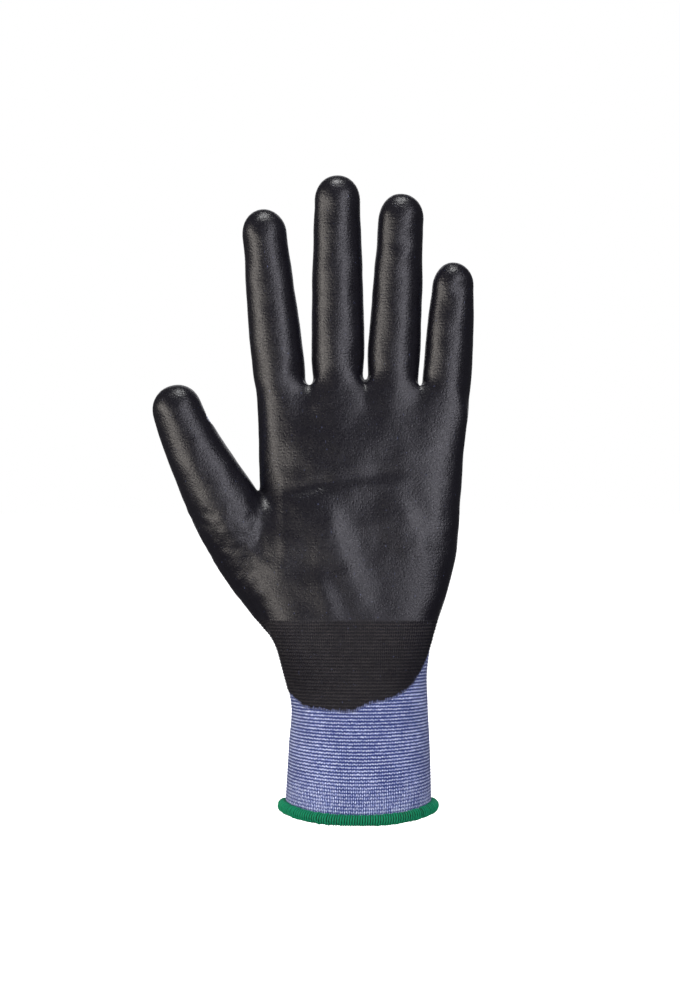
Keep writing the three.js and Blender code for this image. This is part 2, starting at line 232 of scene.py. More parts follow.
AIM = Vector((-0.005, 0, 0.13))  # what the lights face, in metres like all that follows
VIEW_DISTANCE = 0.9
VIEW_HEIGHT = 0.3889  # height of what the picture shows, at the glove
VIEW_CENTRE = (-0.0071, 0.1247)
FLOOR = -0.07
BOUNCE = 0.43  # how bright the surroundings are to matt surfaces
DARK_STUDIO = 0.08  # and to shiny ones, which show the softboxes against them


# ---- small helpers ----


def smoothstep(low, high, value):
    t = np.clip((value - low) / (high - low), 0, 1)
    return t * t * (3 - 2 * t)


def between(low, high, share):
    return low + (high - low) * share


def smooth_min(a, b, reach):
    h = np.clip(0.5 + 0.5 * (b - a) / reach, 0, 1)
    return b + (a - b) * h - reach * h * (1 - h)


def smooth_rows(rows, step=0.5):
    """Rows of (position, values...) as a table of fine even steps, on a smooth curve."""
    rows = np.array(rows, float)
    at, values = rows[:, 0], rows[:, 1:]
    slope = np.gradient(values, at, axis=0)
    fine = np.append(np.arange(at[0], at[-1], step), at[-1])
    i = np.clip(np.searchsorted(at, fine, side="right") - 1, 0, len(at) - 2)
    span = (at[i + 1] - at[i])[:, None]
    t = ((fine - at[i]) / (at[i + 1] - at[i]))[:, None]
    smooth = (
        (2 * t**3 - 3 * t**2 + 1) * values[i]
        + (t**3 - 2 * t**2 + t) * span * slope[i]
        + (3 * t**2 - 2 * t**3) * values[i + 1]
        + (t**3 - t**2) * span * slope[i + 1]
    )
    return fine, smooth


def look_up(table, at, column):
    fine, values = table
    return np.interp(at, fine, values[:, column])


def oval(across, deep, width, depth, squareness):
    """Distance to a superellipse, along the ray from its middle. It is below 0 inside."""
    reach = (np.abs(across / width) ** squareness + np.abs(deep / depth) ** squareness)
    reach = np.maximum(reach, 1e-6) ** (1 / squareness)
    radius = np.hypot(across, deep) + 1e-3
    return radius - radius / reach


def waves(points, length, count, seed):
    """A smooth random field of about that wavelength, from -1 to 1 or so."""
    draw = np.random.default_rng(seed)
    direction = draw.normal(size=(count, 3))
    direction /= np.linalg.norm(direction, axis=1)[:, None]
    pitch = 2 * np.pi / (length * draw.uniform(0.7, 1.4, count))
    phase = draw.uniform(0, 2 * np.pi, count)
    total = np.zeros(len(points))
    for way, rate, start in zip(direction, pitch, phase):
        total += np.sin(points @ way * rate + start)
    return total * math.sqrt(2 / count) / 1.4


def layered_waves(points, layers, count):
    return sum(height * waves(points, length, count, seed) for height, length, seed in layers)


# ---- the glove's shape ----


class Stall:
    """A finger or the thumb of the glove: a curved axis and a section that changes along it."""

    def __init__(self, name, axis, halves, cap, bare_side=False):
        self.name = name
        self.bare_side = bare_side
        self.axis = axis
        step = np.linalg.norm(np.diff(axis, axis=0), axis=1)
        self.along = np.concatenate([[0], np.cumsum(step)])
        self.length = self.along[-1]
        self.cap = cap
        self.halves = smooth_rows([(share * self.length, w, d) for share, w, d in halves])
        tangent = np.gradient(axis, self.along, axis=0)
        self.tangent = tangent / np.linalg.norm(tangent, axis=1)[:, None]

    def at(self, s):
        """The axis's point, direction, width direction and palm-side direction at s."""
        centre = np.stack([np.interp(s, self.along, self.axis[:, k]) for k in range(3)], -1)
        along = np.stack([np.interp(s, self.along, self.tangent[:, k]) for k in range(3)], -1)
        across = np.stack([along[..., 2], 0 * along[..., 2], -along[..., 0]], -1)
        across /= np.linalg.norm(across, axis=-1)[..., None]
        return centre, along, across, np.cross(across, along)

    def locate(self, points):
        """Each point's distance along the axis, across it, and out towards the palm side."""
        s = np.interp(points[:, 2], self.axis[:, 2], self.along)
        for _ in range(3):
            centre, along, across, front = self.at(s)
            s = np.clip(s + np.sum((points - centre) * along, axis=1), 0, self.length)
        centre, along, across, front = self.at(s)
        offset = points - centre
        at_an_end = (s <= 0) | (s >= self.length)
        past = np.where(at_an_end, np.sum(offset * along, axis=1), 0)
        return s + past, np.sum(offset * across, axis=1), np.sum(offset * front, axis=1)

    def distance(self, points):
        s, across, front = self.locate(points)
        width = look_up(self.halves, s, 0)
        depth = look_up(self.halves, s, 1)
        beyond = np.maximum(s - (self.length - self.cap), 0) - np.maximum(-s, 0)
        n = STALL_SQUARENESS
        reach = (
            np.abs(across / width) ** n + np.abs(front / depth) ** n + np.abs(beyond / self.cap) ** n
        )
        reach = np.maximum(reach, 1e-6) ** (1 / n)
        radius = np.sqrt(across**2 + front**2 + beyond**2) + 1e-3
        return radius - radius / reach

    def film_reach(self, points):
        """How far each point lies inside the film's edge, which leaves the stall's back bare."""
        s, across, front = self.locate(points)
        depth = look_up(self.halves, s, 1)
        tip = s - (self.length - TIP_DIP)
        wrap = front + WRAP_BACK * depth
        if self.bare_side:  # the dip missed a little of the side there
            up = (s - self.length + BARE_PATCH["below_tip"]) / BARE_PATCH["half_height"]
            side = smoothstep(*BARE_PATCH["across"], across)
            wrap -= BARE_PATCH["depth"] * np.exp(-(up**2)) * side
        return np.maximum(wrap, tip)


def curve_points(controls):
    """Points on a smooth curve through the controls."""
    return smooth_rows([(i, *point) for i, point in enumerate(controls)], step=1 / 120)[1]


def finger_stall(name, web, tip, half):
    start = np.array([web[0], 0, web[1]], float)
    end = np.array([tip[0], -LEAN, tip[1]], float)
    down = (start - end) * (1, 0, 1)
    root = start + BURIED * down / np.linalg.norm(down)
    middle = (start + BEND_SHARE * (end - start)) * (1, 0, 1)
    t = np.linspace(0, 1, 150)[:, None]
    axis = (1 - t) ** 2 * root + 2 * t * (1 - t) * middle + t**2 * end
    length = np.sum(np.linalg.norm(np.diff(axis, axis=0), axis=1))
    web_share = BURIED / length
    cap = half[2] * FINGER_CAP
    widths = [
        (0, half[0] * BURIED_TAPER),
        (web_share, half[0]),
        (web_share + (1 - web_share) * BEND_SHARE, half[1]),
        (1 - cap / length, half[2]),
        (1, half[2] * 0.97),
    ]
    return Stall(name, axis, [(share, w, w * FINGER_DEPTH) for share, w in widths], cap)


STALLS = {name: finger_stall(name, **size) for name, size in FINGERS.items()}
THUMB = Stall("thumb", curve_points(THUMB_AXIS), THUMB_HALF, THUMB_CAP, bare_side=True)
HAND_TABLE = smooth_rows(HAND)
HAND_TOP_TABLE = smooth_rows(HAND_TOP)
LOWER_EDGE_CURVE = smooth_rows(LOWER_EDGE)


def rise(x, y, z):
    """How much higher the courses run at the hand's sides than at its palm and back."""
    wide, deep = (x / RISE_ROUND[0]) ** 2, (y / RISE_ROUND[1]) ** 2
    sideways = wide / (wide + deep + 1e-6)
    return SIDE_RISE * sideways * smoothstep(0, 1, 1 - z / RISE_FADE)


def hand_distance(points):
    x, y, z = points.T
    width, depth = look_up(HAND_TABLE, z, 1), look_up(HAND_TABLE, z, 2)
    flat = smoothstep(*PALM_FLATTENS, z) * smoothstep(*PALM_SIDE, y)
    low, high = LEFT_SQUARENESS
    left = between(low, high, smoothstep(*LEFT_CHANGES, z))
    palm = between(left, RIGHT_SQUARENESS, smoothstep(*LEFT_TO_RIGHT, x))
    squareness = between(HAND_SQUARENESS, palm, flat)
    side = oval(x - look_up(HAND_TABLE, z, 0), y, width, depth, squareness)
    return -smooth_min(-side, look_up(HAND_TOP_TABLE, x, 0) - z, TOP_ROUNDING)


def fingers_distance(points):
    return np.min([stall.distance(points) for stall in STALLS.values()], axis=0)


def glove_distance(points):
    """The field whose zero is the glove's outline, and the two parts that it is joined from."""
    points = points.astype(float)
    z = points[:, 2]
    hand = np.full(len(points), 3 * FAR)
    low = z < HAND_ENDS
    hand[low] = hand_distance(points[low])
    high = z > FINGERS_BEGIN
    if high.any():
        fingers = fingers_distance(points[high])
        reach = between(*FINGER_BLEND, smoothstep(*WEB_TO_PALM, np.abs(points[high, 1])))
        hand[high] = smooth_min(hand[high], fingers, reach)
    thumb = np.full(len(points), 3 * FAR)
    right, bottom, top = THUMB_ROOM
    near = (points[:, 0] < right) & (z > bottom) & (z < top)
    thumb[near] = THUMB.distance(points[near])
    reach = between(*THUMB_BLEND, smoothstep(*FORK_TO_PALM, points[:, 1]))
    return smooth_min(hand, thumb, reach), hand, thumb


# ---- a surface and what can be done with it ----


class Surface:
    """Triangles, with values at their corners: a dictionary of arrays, one row to a point."""

    def __init__(self, triangles, values):
        self.triangles = triangles
        self.values = values

    @property
    def points(self):
        return self.values["points"]

    def clipped(self, inside):
        """The part where inside, a value at each point, is above 0, cut along where it is 0."""
        inside = np.where(np.abs(inside) < 1e-4, 1e-4, inside)
        keep = inside[self.triangles] > 0
        count = keep.sum(axis=1)
        parts = [self.triangles[count == 3]]
        cuts = Cuts(self.triangles.max() + 1)
        one = self.triangles[count == 1]
        a, b, c = turned(one, keep[count == 1], True)
        parts.append(np.stack([a, cuts.between(a, b), cuts.between(a, c)], 1))
        two = self.triangles[count == 2]
        a, b, c = turned(two, keep[count == 2], False)
        ab, ca = cuts.between(a, b), cuts.between(a, c)
        parts.append(np.stack([ab, b, c], 1))
        parts.append(np.stack([ab, c, ca], 1))
        return cuts.surface(self, np.concatenate(parts), inside)


class Cuts:
    """The new points of a clipped surface: one on each cut edge, shared by its triangles."""

    def __init__(self, first):
        self.first = first
        self.edges = []
        self.count = 0

    def between(self, a, b):
        """Stand-in numbers for the points on the edges from a to b. surface() merges them."""
        numbers = self.first + self.count + np.arange(len(a))
        self.edges.append(np.sort(np.stack([a, b], 1), axis=1))
        self.count += len(a)
        return numbers

    def surface(self, source, triangles, inside):
        edges, shared = np.unique(np.concatenate(self.edges), axis=0, return_inverse=True)
        shared = shared.reshape(-1)
        is_new = triangles >= self.first
        triangles = triangles.copy()
        triangles[is_new] = self.first + shared[triangles[is_new] - self.first]
        low, high = edges.T
        share = inside[low] / (inside[low] - inside[high])
        values = {}
        for name, value in source.values.items():
            t = share.reshape([-1] + [1] * (value.ndim - 1))
            new = value[low] + (value[high] - value[low]) * t
            values[name] = np.concatenate([value[: self.first], new])
        used, numbers = np.unique(triangles, return_inverse=True)
        values = {name: value[used] for name, value in values.items()}
        return Surface(numbers.reshape(triangles.shape), values)


def turned(triangles, keep, kept):
    """Each triangle's corners, turned so that the one whose keep is unlike the others is first."""
    first = np.argmax(keep == kept, axis=1)
    rows = np.arange(len(triangles))
    return [triangles[rows, (first + k) % 3] for k in range(3)]


def axis_values(cell):
    return [np.arange(low, high, step) for low, high, step in zip(GRID_LOW, GRID_HIGH, cell)]


def field_on_grid(cell, inset):
    xs, ys, zs = axis_values(cell)
    field = np.empty((len(xs), len(ys), len(zs)), np.float32)
    flat = np.stack(np.meshgrid(xs, ys, indexing="ij"), -1).reshape(-1, 2)
    slab = max(1, POINTS_AT_ONCE // len(flat))
    for k in range(0, len(zs), slab):
        heights = zs[k : k + slab]
        points = np.concatenate(
            [np.repeat(flat, len(heights), axis=0), np.tile(heights, len(flat))[:, None]], axis=1
        )
        values = glove_distance(points)[0] + inset
        field[:, :, k : k + slab] = values.reshape(len(xs), len(ys), len(heights))
    return np.clip(field, -FAR, FAR)


def gradient(points, step=0.15):
    ways = np.eye(3) * step
    return np.stack(
        [glove_distance(points + w)[0] - glove_distance(points - w)[0] for w in ways], 1
    ) / (2 * step)


def meshed(cell, inset):
    """The surface that lies inset inside the glove's outline, as triangles with normals."""
    grid = openvdb.FloatGrid(background=FAR)
    grid.copyFromArray(field_on_grid(cell, inset))
    scale = np.diag([*cell, 1.0])
    scale[3, :3] = GRID_LOW
    grid.transform = openvdb.createLinearTransform(scale.tolist())
    points, quads = grid.convertToQuads(isovalue=0.0)
    points = points.astype(float)
    for _ in range(2):  # on to the surface itself
        slope = gradient(points)
        steep = np.sum(slope * slope, axis=1)[:, None]
        points -= slope * (glove_distance(points)[0] + inset)[:, None] / np.maximum(steep, 0.2)
    slope = gradient(points)
    normals = slope / np.linalg.norm(slope, axis=1)[:, None]
    quads = quads.astype(np.int64)
    triangles = np.concatenate([quads[:, [0, 1, 2]], quads[:, [0, 2, 3]]])
    return Surface(triangles, {"points": points, "normals": normals})


# ---- what the surface carries: the knit's courses, the film's reach and the folds ----


def described(surface):
    """The surface with what each point needs: the part it belongs to, as a value that crosses 0
    where the thumb begins and as its nearest finger, its course, its film and its rest place."""
    points = surface.points
    _, rest, thumb = glove_distance(points)
    surface.values["thumbness"] = np.clip(rest - thumb, -FAR, FAR)
    distances = np.stack([stall.distance(points) for stall in STALLS.values()], 1)
    surface.values["finger"] = np.argmin(distances, axis=1).astype(float)
    surface.values["course"] = course_height(surface)
    surface.values["film"] = film_reach(surface)
    surface.values["rest"] = points / METRE
    return surface


def course_height(surface):
    """Height along the knit, in millimetres: up the hand and fingers, and along the thumb."""
    x, y, z = surface.points.T
    up = z - rise(x, y, z)
    along = THUMB.locate(surface.points)[0]
    return np.where(surface.values["thumbness"] > 0, along, up)


def film_reach(surface):
    """How far each point lies inside the film's edge."""
    points = surface.points
    x, y, z = points.T
    _, rest, thumb = glove_distance(points)
    wander = layered_waves(points, EDGE_WANDER, 8)
    fingers = np.stack([stall.film_reach(points) for stall in STALLS.values()])
    finger = fingers[surface.values["finger"].astype(int), np.arange(len(points))]
    reach = between(FILM_BACK - y, finger, smoothstep(*FINGER_EDGE, z))
    reach = between(reach, THUMB.film_reach(points), smoothstep(*THUMB_EDGE, rest - thumb))
    above = z - look_up(LOWER_EDGE_CURVE, x, 0) + LOWER_WANDER * wander
    return smooth_min(reach + wander, above, EDGE_CORNER)


def fold_height(points):
    """How far the folds move the surface outward."""
    x, y, z = points.T
    total = np.zeros(len(points))
    for start, end, left, right, height in FOLDS:
        start, end = np.array(start, float), np.array(end, float)
        run = end - start
        t = np.clip(((x - start[0]) * run[0] + (z - start[1]) * run[1]) / (run @ run), 0, 1)
        away = np.hypot(x - start[0] - t * run[0], z - start[1] - t * run[1])
        beside = (x - start[0]) * run[1] - (z - start[1]) * run[0]
        width = between(left, right, smoothstep(-0.5, 0.5, beside / math.hypot(*run)))
        ends = smoothstep(0, 0.35, t) * smoothstep(1, 0.65, t)
        total += height * np.exp(-((away / width) ** 2)) * ends
    return total * smoothstep(0, -6, y)


def dimple_height(points):
    x, y, z = points.T
    total = np.zeros(len(points))
    for middle, height, wide, tall, depth in DIMPLES:
        total -= depth * np.exp(-(((x - middle) / wide) ** 2) - ((z - height) / tall) ** 2)
    return total * smoothstep(0, -4, y)


def detailed(surface):
    """The outline with its folds and lumps."""
    points = surface.points
    x, y, z = points.T
    lumps = layered_waves(points, LUMPS, 40)
    thumb_base = smoothstep(-30, -40, x) * smoothstep(130, 118, z)
    lumps += layered_waves(points, THUMB_BASE_LUMPS, 40) * thumb_base
    lumps *= smoothstep(*LUMPS_BEGIN, z)
    return moved(surface, lumps + fold_height(points) + dimple_height(points))


def moved(surface, distance):
    values = dict(surface.values)
    values["points"] = surface.points + surface.values["normals"] * distance[:, None]
    return Surface(surface.triangles, values)


def ridge(surface):
    """The courses' relief: the light yarn stands out, the dark one lies back."""
    return -RIDGE * np.cos(2 * np.pi * surface.values["course"] / COURSE)


def liner_surface(outline):
    return moved(outline, ridge(outline) - FILM)


def film_surface(outline):
    """The film lies on the liner: it thins out at its edge and lets the courses of the cuff show."""
    film = outline.values["film"]
    thickness = FILM_LIFT + FILM * smoothstep(0, FILM_FEATHER, film)
    height = outline.values["rest"][:, 2] * METRE
    past_line = smoothstep(CUFF_LINE - 0.6, CUFF_LINE + 0.6, height)
    hides = FILM_HIDES * past_line * smoothstep(0.3, 2.2, film)
    return moved(outline, ridge(outline) * (1 - hides) + thickness - FILM)


def inner_surface():
    inner = meshed(INNER_CELL, FILM + WALL)
    inner.triangles = inner.triangles[:, ::-1]
    return described(inner)


# ---- where the pieces part ----


def knuckles():
    """For each stall, its joints in order: where each turns, in millimetres along the axis."""
    found = {}
    stalls = {**STALLS, "thumb": THUMB}
    for joint in frame["joints"]:
        stall = stalls.get(joint["name"].split("_")[0])
        if stall:
            pivot = np.array([joint["pos_m"]]) * METRE
            found.setdefault(stall.name, []).append((joint, float(stall.locate(pivot)[0][0])))
    return found


def stall_pieces(stall, joints, web):
    """Each bending piece of a stall: the joint it crosses, where it begins and ends, and where
    it bends, all along the axis."""
    turns = [s for _, s in joints]
    cuts = [web] + [(a + b) / 2 for a, b in zip(turns, turns[1:])] + [stall.length + FAR]
    if stall is not THUMB:
        cuts[1] += ROOT_BEND_EXTRA
    pieces = []
    for (joint, turn), low, high in zip(joints, cuts, cuts[1:]):
        half = min(turn - low, high - turn, LONGEST_BEND) - KNUCKLE_MARGIN
        bend = (turn - half, turn + half)
        if low == web:
            bend = (THUMB_BEND if stall is THUMB else low + BEND_MARGIN, high - BEND_MARGIN)
        pieces.append({"joint": joint, "low": low, "high": high, "bend": bend})
    return pieces


def stall_reach(surface):
    """For each stall, how far along it each point lies past where the hand ends. It is below 0
    at points that belong elsewhere."""
    points = surface.points
    reach = {}
    for i, (name, stall) in enumerate(STALLS.items()):
        mine = (surface.values["finger"] == i) & (points[:, 2] > 160)
        level = FINGERS[name]["web"][1] + WEB_RISE
        reach[name] = np.where(mine, points[:, 2] - level, -FAR)
    past_web = THUMB.locate(points)[0] - THUMB_WEB
    (x, z), (far_x, far_z) = FORK
    beside = (x - points[:, 0]) * (far_z - z) + (points[:, 2] - z) * (far_x - x)
    beside /= math.hypot(far_x - x, far_z - z)
    clear = np.minimum(past_web, beside + FORK_MARGIN)
    reach["thumb"] = np.where(points[:, 2] > 90, clear, -FAR)
    return reach


# ---- objects ----


def stitch_map(surface):
    """Where each triangle's corners lie in the knit: stitches round, and pairs of courses up."""
    points = surface.values["rest"] * METRE
    x, y, z = points.T
    corners = surface.triangles
    around = (hand_turn(points) * WALES)[corners]
    up = (z - rise(x, y, z))[corners]
    period = np.full((len(corners), 1), float(WALES))
    finger = surface.values["finger"].astype(int)
    on_finger = (z > FINGERS_FROM)[corners].all(axis=1)
    for i, stall in enumerate(STALLS.values()):
        mine = on_finger & (finger[corners[:, 0]] == i)
        period[mine] = stitches_round(stall)
        around[mine] = stall_turn(stall, points[corners[mine]]) * stitches_round(stall)
    on_thumb = surface.values["thumbness"][corners].mean(axis=1) > 0
    period[on_thumb] = stitches_round(THUMB)
    around[on_thumb] = stall_turn(THUMB, points[corners[on_thumb]]) * stitches_round(THUMB)
    up[on_thumb] = THUMB.locate(points)[0][corners[on_thumb]]
    around -= np.round((around - around[:, :1]) / period) * period  # no triangle spans the seam
    return np.stack([around, up / COURSE], -1)


def stitches_round(stall):
    return 2 * round(np.pi * stall.halves[1][:, 0].mean() / STALL_WALE)


def stall_turn(stall, points):
    """How far round a stall each point lies, from -0.5 to 0.5, counted from its palm side."""
    _, across, front = stall.locate(points.reshape(-1, 3))
    return (np.arctan2(across, front) / (2 * np.pi)).reshape(points.shape[:-1])


def quarter_outlines():
    """How far along a quarter of the hand's outline each angle lies, for widths over depths."""
    angle = np.linspace(0, np.pi / 2, 91)
    aspects = np.linspace(1.2, 5, 39)
    n = HAND_SQUARENESS
    radius = (np.sin(angle) ** n + np.cos(angle) ** n) ** (-1 / n)
    across = np.diff(radius * np.sin(angle))
    deep = np.diff(radius * np.cos(angle))
    steps = np.hypot(across * aspects[:, None], deep)
    lengths = np.pad(np.cumsum(steps, axis=1), ((0, 0), (1, 0)))
    return angle, aspects, lengths / lengths[:, -1:]


def hand_turn(points):
    """How far round the hand each point lies, as a share of the way along its outline."""
    x, y, z = points.T
    angle, aspects, lengths = quarter_outlines()
    width, depth = look_up(HAND_TABLE, z, 1), look_up(HAND_TABLE, z, 2)
    side = x - look_up(HAND_TABLE, z, 0)
    turn = np.arctan2(np.abs(side) / width, np.abs(y) / depth)
    row = np.clip((width / depth - aspects[0]) / (aspects[1] - aspects[0]), 0, len(aspects) - 1.001)
    column = np.clip(turn / angle[1], 0, len(angle) - 1.001)
    i, j = row.astype(int), column.astype(int)
    a, b = row - i, column - j
    quarter = (
        lengths[i, j] * (1 - a) * (1 - b)
        + lengths[i, j + 1] * (1 - a) * b
        + lengths[i + 1, j] * a * (1 - b)
        + lengths[i + 1, j + 1] * a * b
    )
    half = np.where(y < 0, quarter, 2 - quarter) / 4
    return np.where(side > 0, half, -half)


def store(mesh, name, values):
    """Keep a number or a vector for each point, which the materials read by its name."""
    kind, key = ("FLOAT_VECTOR", "vector") if values.ndim == 2 else ("FLOAT", "value")
    kept = mesh.attributes.new(name, kind, "POINT")
    kept.data.foreach_set(key, values.astype(np.float32).ravel())


def placed(name, mesh, material):
    mesh.materials.append(material)
    made = bpy.data.objects.new(name, mesh)
    bpy.context.collection.objects.link(made)
    return made


def mesh_object(name, surfaces, material):
    """One object from a list of surfaces."""
    starts = np.cumsum([0] + [len(s.points) for s in surfaces])
    points = np.concatenate([s.points for s in surfaces]) / METRE
    triangles = np.concatenate([s.triangles + start for s, start in zip(surfaces, starts)])
    mesh = bpy.data.meshes.new(name)
    mesh.vertices.add(len(points))
    mesh.vertices.foreach_set("co", points.astype(np.float32).ravel())
    mesh.loops.add(triangles.size)
    mesh.loops.foreach_set("vertex_index", triangles.ravel().astype(np.int32))
    mesh.polygons.add(len(triangles))
    mesh.polygons.foreach_set("loop_start", np.arange(0, triangles.size, 3, dtype=np.int32))
    mesh.update(calc_edges=True)
    mesh.shade_smooth()
    stitches = mesh.uv_layers.new(name="Stitches")
    uv = np.concatenate([stitch_map(s) for s in surfaces]).astype(np.float32)
    stitches.data.foreach_set("uv", uv.ravel())
    store(mesh, "rest", np.concatenate([s.values["rest"] for s in surfaces]))
    store(mesh, "film", np.concatenate([s.values["film"] for s in surfaces]))
    return placed(name, mesh, material)


def point_on(stall, s):
    return Vector(stall.at(np.array(s))[0] / METRE)


class Layer:
    """The liner or the film: its surfaces, and what its pieces stand for."""

    def __init__(self, word, node_word, slot, surfaces, material):
        self.word = word
        self.node_word = node_word
        self.slot = slot
        self.surfaces = surfaces
        self.material = material
        self.rest = [s.values["rest"] * METRE for s in surfaces]
        self.reaches = [stall_reach(s) for s in surfaces]

    def piece(self, name, inside):
        """An object of the parts of the surfaces where inside, one array for each, is above 0."""
        parts = [s.clipped(values) for s, values in zip(self.surfaces, inside)]
        parts = [part for part in parts if len(part.triangles)]
        made = mesh_object(f"{name}_{self.word}", parts, self.material)
        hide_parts(f"{name}_{self.node_word}")
        return made

    def build_cuff(self):
        above_hem = [rest[:, 2] - HEM_CENTRE - rise(*rest.T) for rest in self.rest]
        inside = [np.minimum(a, WRIST_BEND[0] - r[:, 2]) for a, r in zip(above_hem, self.rest)]
        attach(self.piece("cuff", inside), "cuff")

    def build_wrist(self):
        low, high = WRIST_BEND
        wrist = self.piece("wrist", [np.minimum(r[:, 2] - low, high - r[:, 2]) for r in self.rest])
        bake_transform(wrist)

    def build_palm(self):
        on_a_stall = [np.max(list(reach.values()), axis=0) for reach in self.reaches]
        above_wrist = [rest[:, 2] - WRIST_BEND[1] for rest in self.rest]
        inside = [np.minimum(a, -b) for a, b in zip(above_wrist, on_a_stall)]
        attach(self.piece("palm", inside), "palm")

    def build_stall(self, stall, joints):
        web = THUMB_WEB if stall is THUMB else BURIED + WEB_RISE
        for part in stall_pieces(stall, joints, web):
            inside = []
            for rest, reaches in zip(self.rest, self.reaches):
                along = stall.locate(rest)[0]
                start = reaches[stall.name]
                if part["low"] > web:
                    start = np.where(start > 0, along - part["low"], -FAR)
                inside.append(np.minimum(start, part["high"] - along))
            joint = part["joint"]
            piece = self.piece(joint["child"], inside)
            start, end = (point_on(stall, s) for s in part["bend"])
            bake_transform(piece)


def build_glove(outline, inner, materials):
    joints = knuckles()
    film = film_surface(outline)
    film = film.clipped(film.values["film"])
    knit = [liner_surface(outline), inner]
    liner = Layer("knit", "liner", "knit_liner", knit, materials["knit_liner"])
    coating = Layer("film", "coating", "pu_coating", [film], materials["pu_coating"])
    liner.build_cuff()
    for layer in (liner, coating):
        layer.build_wrist()
        layer.build_palm()
        for stall in (THUMB, *STALLS.values()):
            layer.build_stall(stall, joints[stall.name])


# ---- the hem and the elastic yarn: tubes round the cuff ----


def cuff_ring(height, out, angle):
    """Points round the cuff, given their height and how far outside the outline they stand."""
    s, c = np.sin(angle), np.cos(angle)
    squash = 2 / HAND_SQUARENESS
    z = height + 0 * angle
    width = look_up(HAND_TABLE, z, 1) + out
    depth = look_up(HAND_TABLE, z, 2) + out
    x = look_up(HAND_TABLE, z, 0) + width * np.sign(s) * np.abs(s) ** squash
    y = -depth * np.sign(c) * np.abs(c) ** squash
    return np.stack([x, y, z + SIDE_RISE * s * s * smoothstep(0, 1, 1 - z / RISE_FADE)], -1)


def even_angles(count):
    """Angles whose points lie evenly spaced round the cuff, as a closed loop without its end."""
    fine = np.linspace(0, 2 * np.pi, 4001)
    ring = cuff_ring(HEM_CENTRE, 0, fine)
    length = np.concatenate([[0], np.cumsum(np.linalg.norm(np.diff(ring, axis=0), axis=1))])
    return np.interp(np.arange(count) * length[-1] / count, length, fine), length[-1]


def tube(path, radius, sides, closed):
    """Points and triangles of a round tube along a path of points."""
    if closed:
        tangent = np.roll(path, -1, axis=0) - np.roll(path, 1, axis=0)
    else:
        tangent = np.gradient(path, axis=0)
    tangent /= np.linalg.norm(tangent, axis=1)[:, None]
    side = np.cross(tangent, [0.0, 0.0, 1.0])
    side /= np.maximum(np.linalg.norm(side, axis=1), 1e-6)[:, None]
    up = np.cross(side, tangent)
    angle = np.arange(sides) * 2 * np.pi / sides
    sine, cosine = np.sin(angle)[None, :, None], np.cos(angle)[None, :, None]
    ring = side[:, None] * cosine + up[:, None] * sine
    points = (path[:, None] + ring * radius).reshape(-1, 3)
    rows = np.arange(len(path) if closed else len(path) - 1)
    i, j = np.meshgrid(rows, np.arange(sides), indexing="ij")
    n = len(path)
    a, b = i * sides + j, i * sides + (j + 1) % sides
    c, d = (i + 1) % n * sides + j, (i + 1) % n * sides + (j + 1) % sides
    quads = np.stack([a, b, d, c], -1).reshape(-1, 4)
    triangles = np.concatenate([quads[:, [0, 2, 1]], quads[:, [0, 3, 2]]])
    return points, triangles


def tube_object(name, tubes, material):
    """One object from several tubes."""
    mesh = bpy.data.meshes.new(name)
    points = np.concatenate([p for p, _ in tubes])
    starts = np.cumsum([0] + [len(p) for p, _ in tubes])
    triangles = np.concatenate([t + start for (_, t), start in zip(tubes, starts)])
    mesh.from_pydata((points / METRE).tolist(), [], triangles.tolist())
    mesh.shade_smooth()
    store(mesh, "rest", points / METRE)
    return placed(name, mesh, material)


def build_hem(material):
    """The overlocked edge: a roll of cord wound all round with thread."""
    reach = HEM_RADIUS - THREAD
    core_angle, length = even_angles(160)
    core = tube(cuff_ring(HEM_CENTRE, HEM_OUT, core_angle), reach, 16, True)
    wraps, steps = round(length / THREAD_PITCH), 14
    angle, _ = even_angles(wraps * steps)
    wound = 2 * np.pi * np.arange(wraps * steps) / steps
    loose = 1 + 0.05 * np.repeat(np.random.default_rng(7).normal(size=wraps), steps)
    ring = cuff_ring(HEM_CENTRE, 0, angle)
    outward = cuff_ring(HEM_CENTRE, 1, angle) - ring
    path = ring + outward * (HEM_OUT + reach * loose * np.cos(wound))[:, None]
    path[:, 2] += reach * loose * np.sin(wound)
    thread = tube(path, THREAD, THREAD_SIDES, True)
    hem = tube_object("hem_thread", [core, thread], material)
    # how far each point of the thread stands out of the core, which the thread's material turns into
    # painted shade in the grooves
    middles = np.repeat(cuff_ring(HEM_CENTRE, HEM_OUT, angle), THREAD_SIDES, axis=0)
    out_of_core = np.linalg.norm(thread[0] - middles, axis=1) - reach
    store(hem.data, "depth", np.concatenate([np.full(len(core[0]), -THREAD), out_of_core]))
    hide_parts("hem_overlock")
    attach(hem, "cuff")


def build_elastic(material):
    """Covered rubber yarn, laid round and round inside the cuff."""
    steps = YARN["turns"] * RING_STEPS
    angle = 2 * np.pi * YARN["turns"] * np.arange(steps + 1) / steps
    height = YARN["bottom"] + (YARN["top"] - YARN["bottom"]) * np.arange(steps + 1) / steps
    path = cuff_ring(height, -FILM - WALL - YARN["radius"] * YARN_INSET, angle)
    yarn = tube_object("elastic_yarn", [tube(path, YARN["radius"], 8, False)], material)
    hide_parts("cuff_elastic_yarn")
    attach(yarn, "cuff")


# ---- materials ----


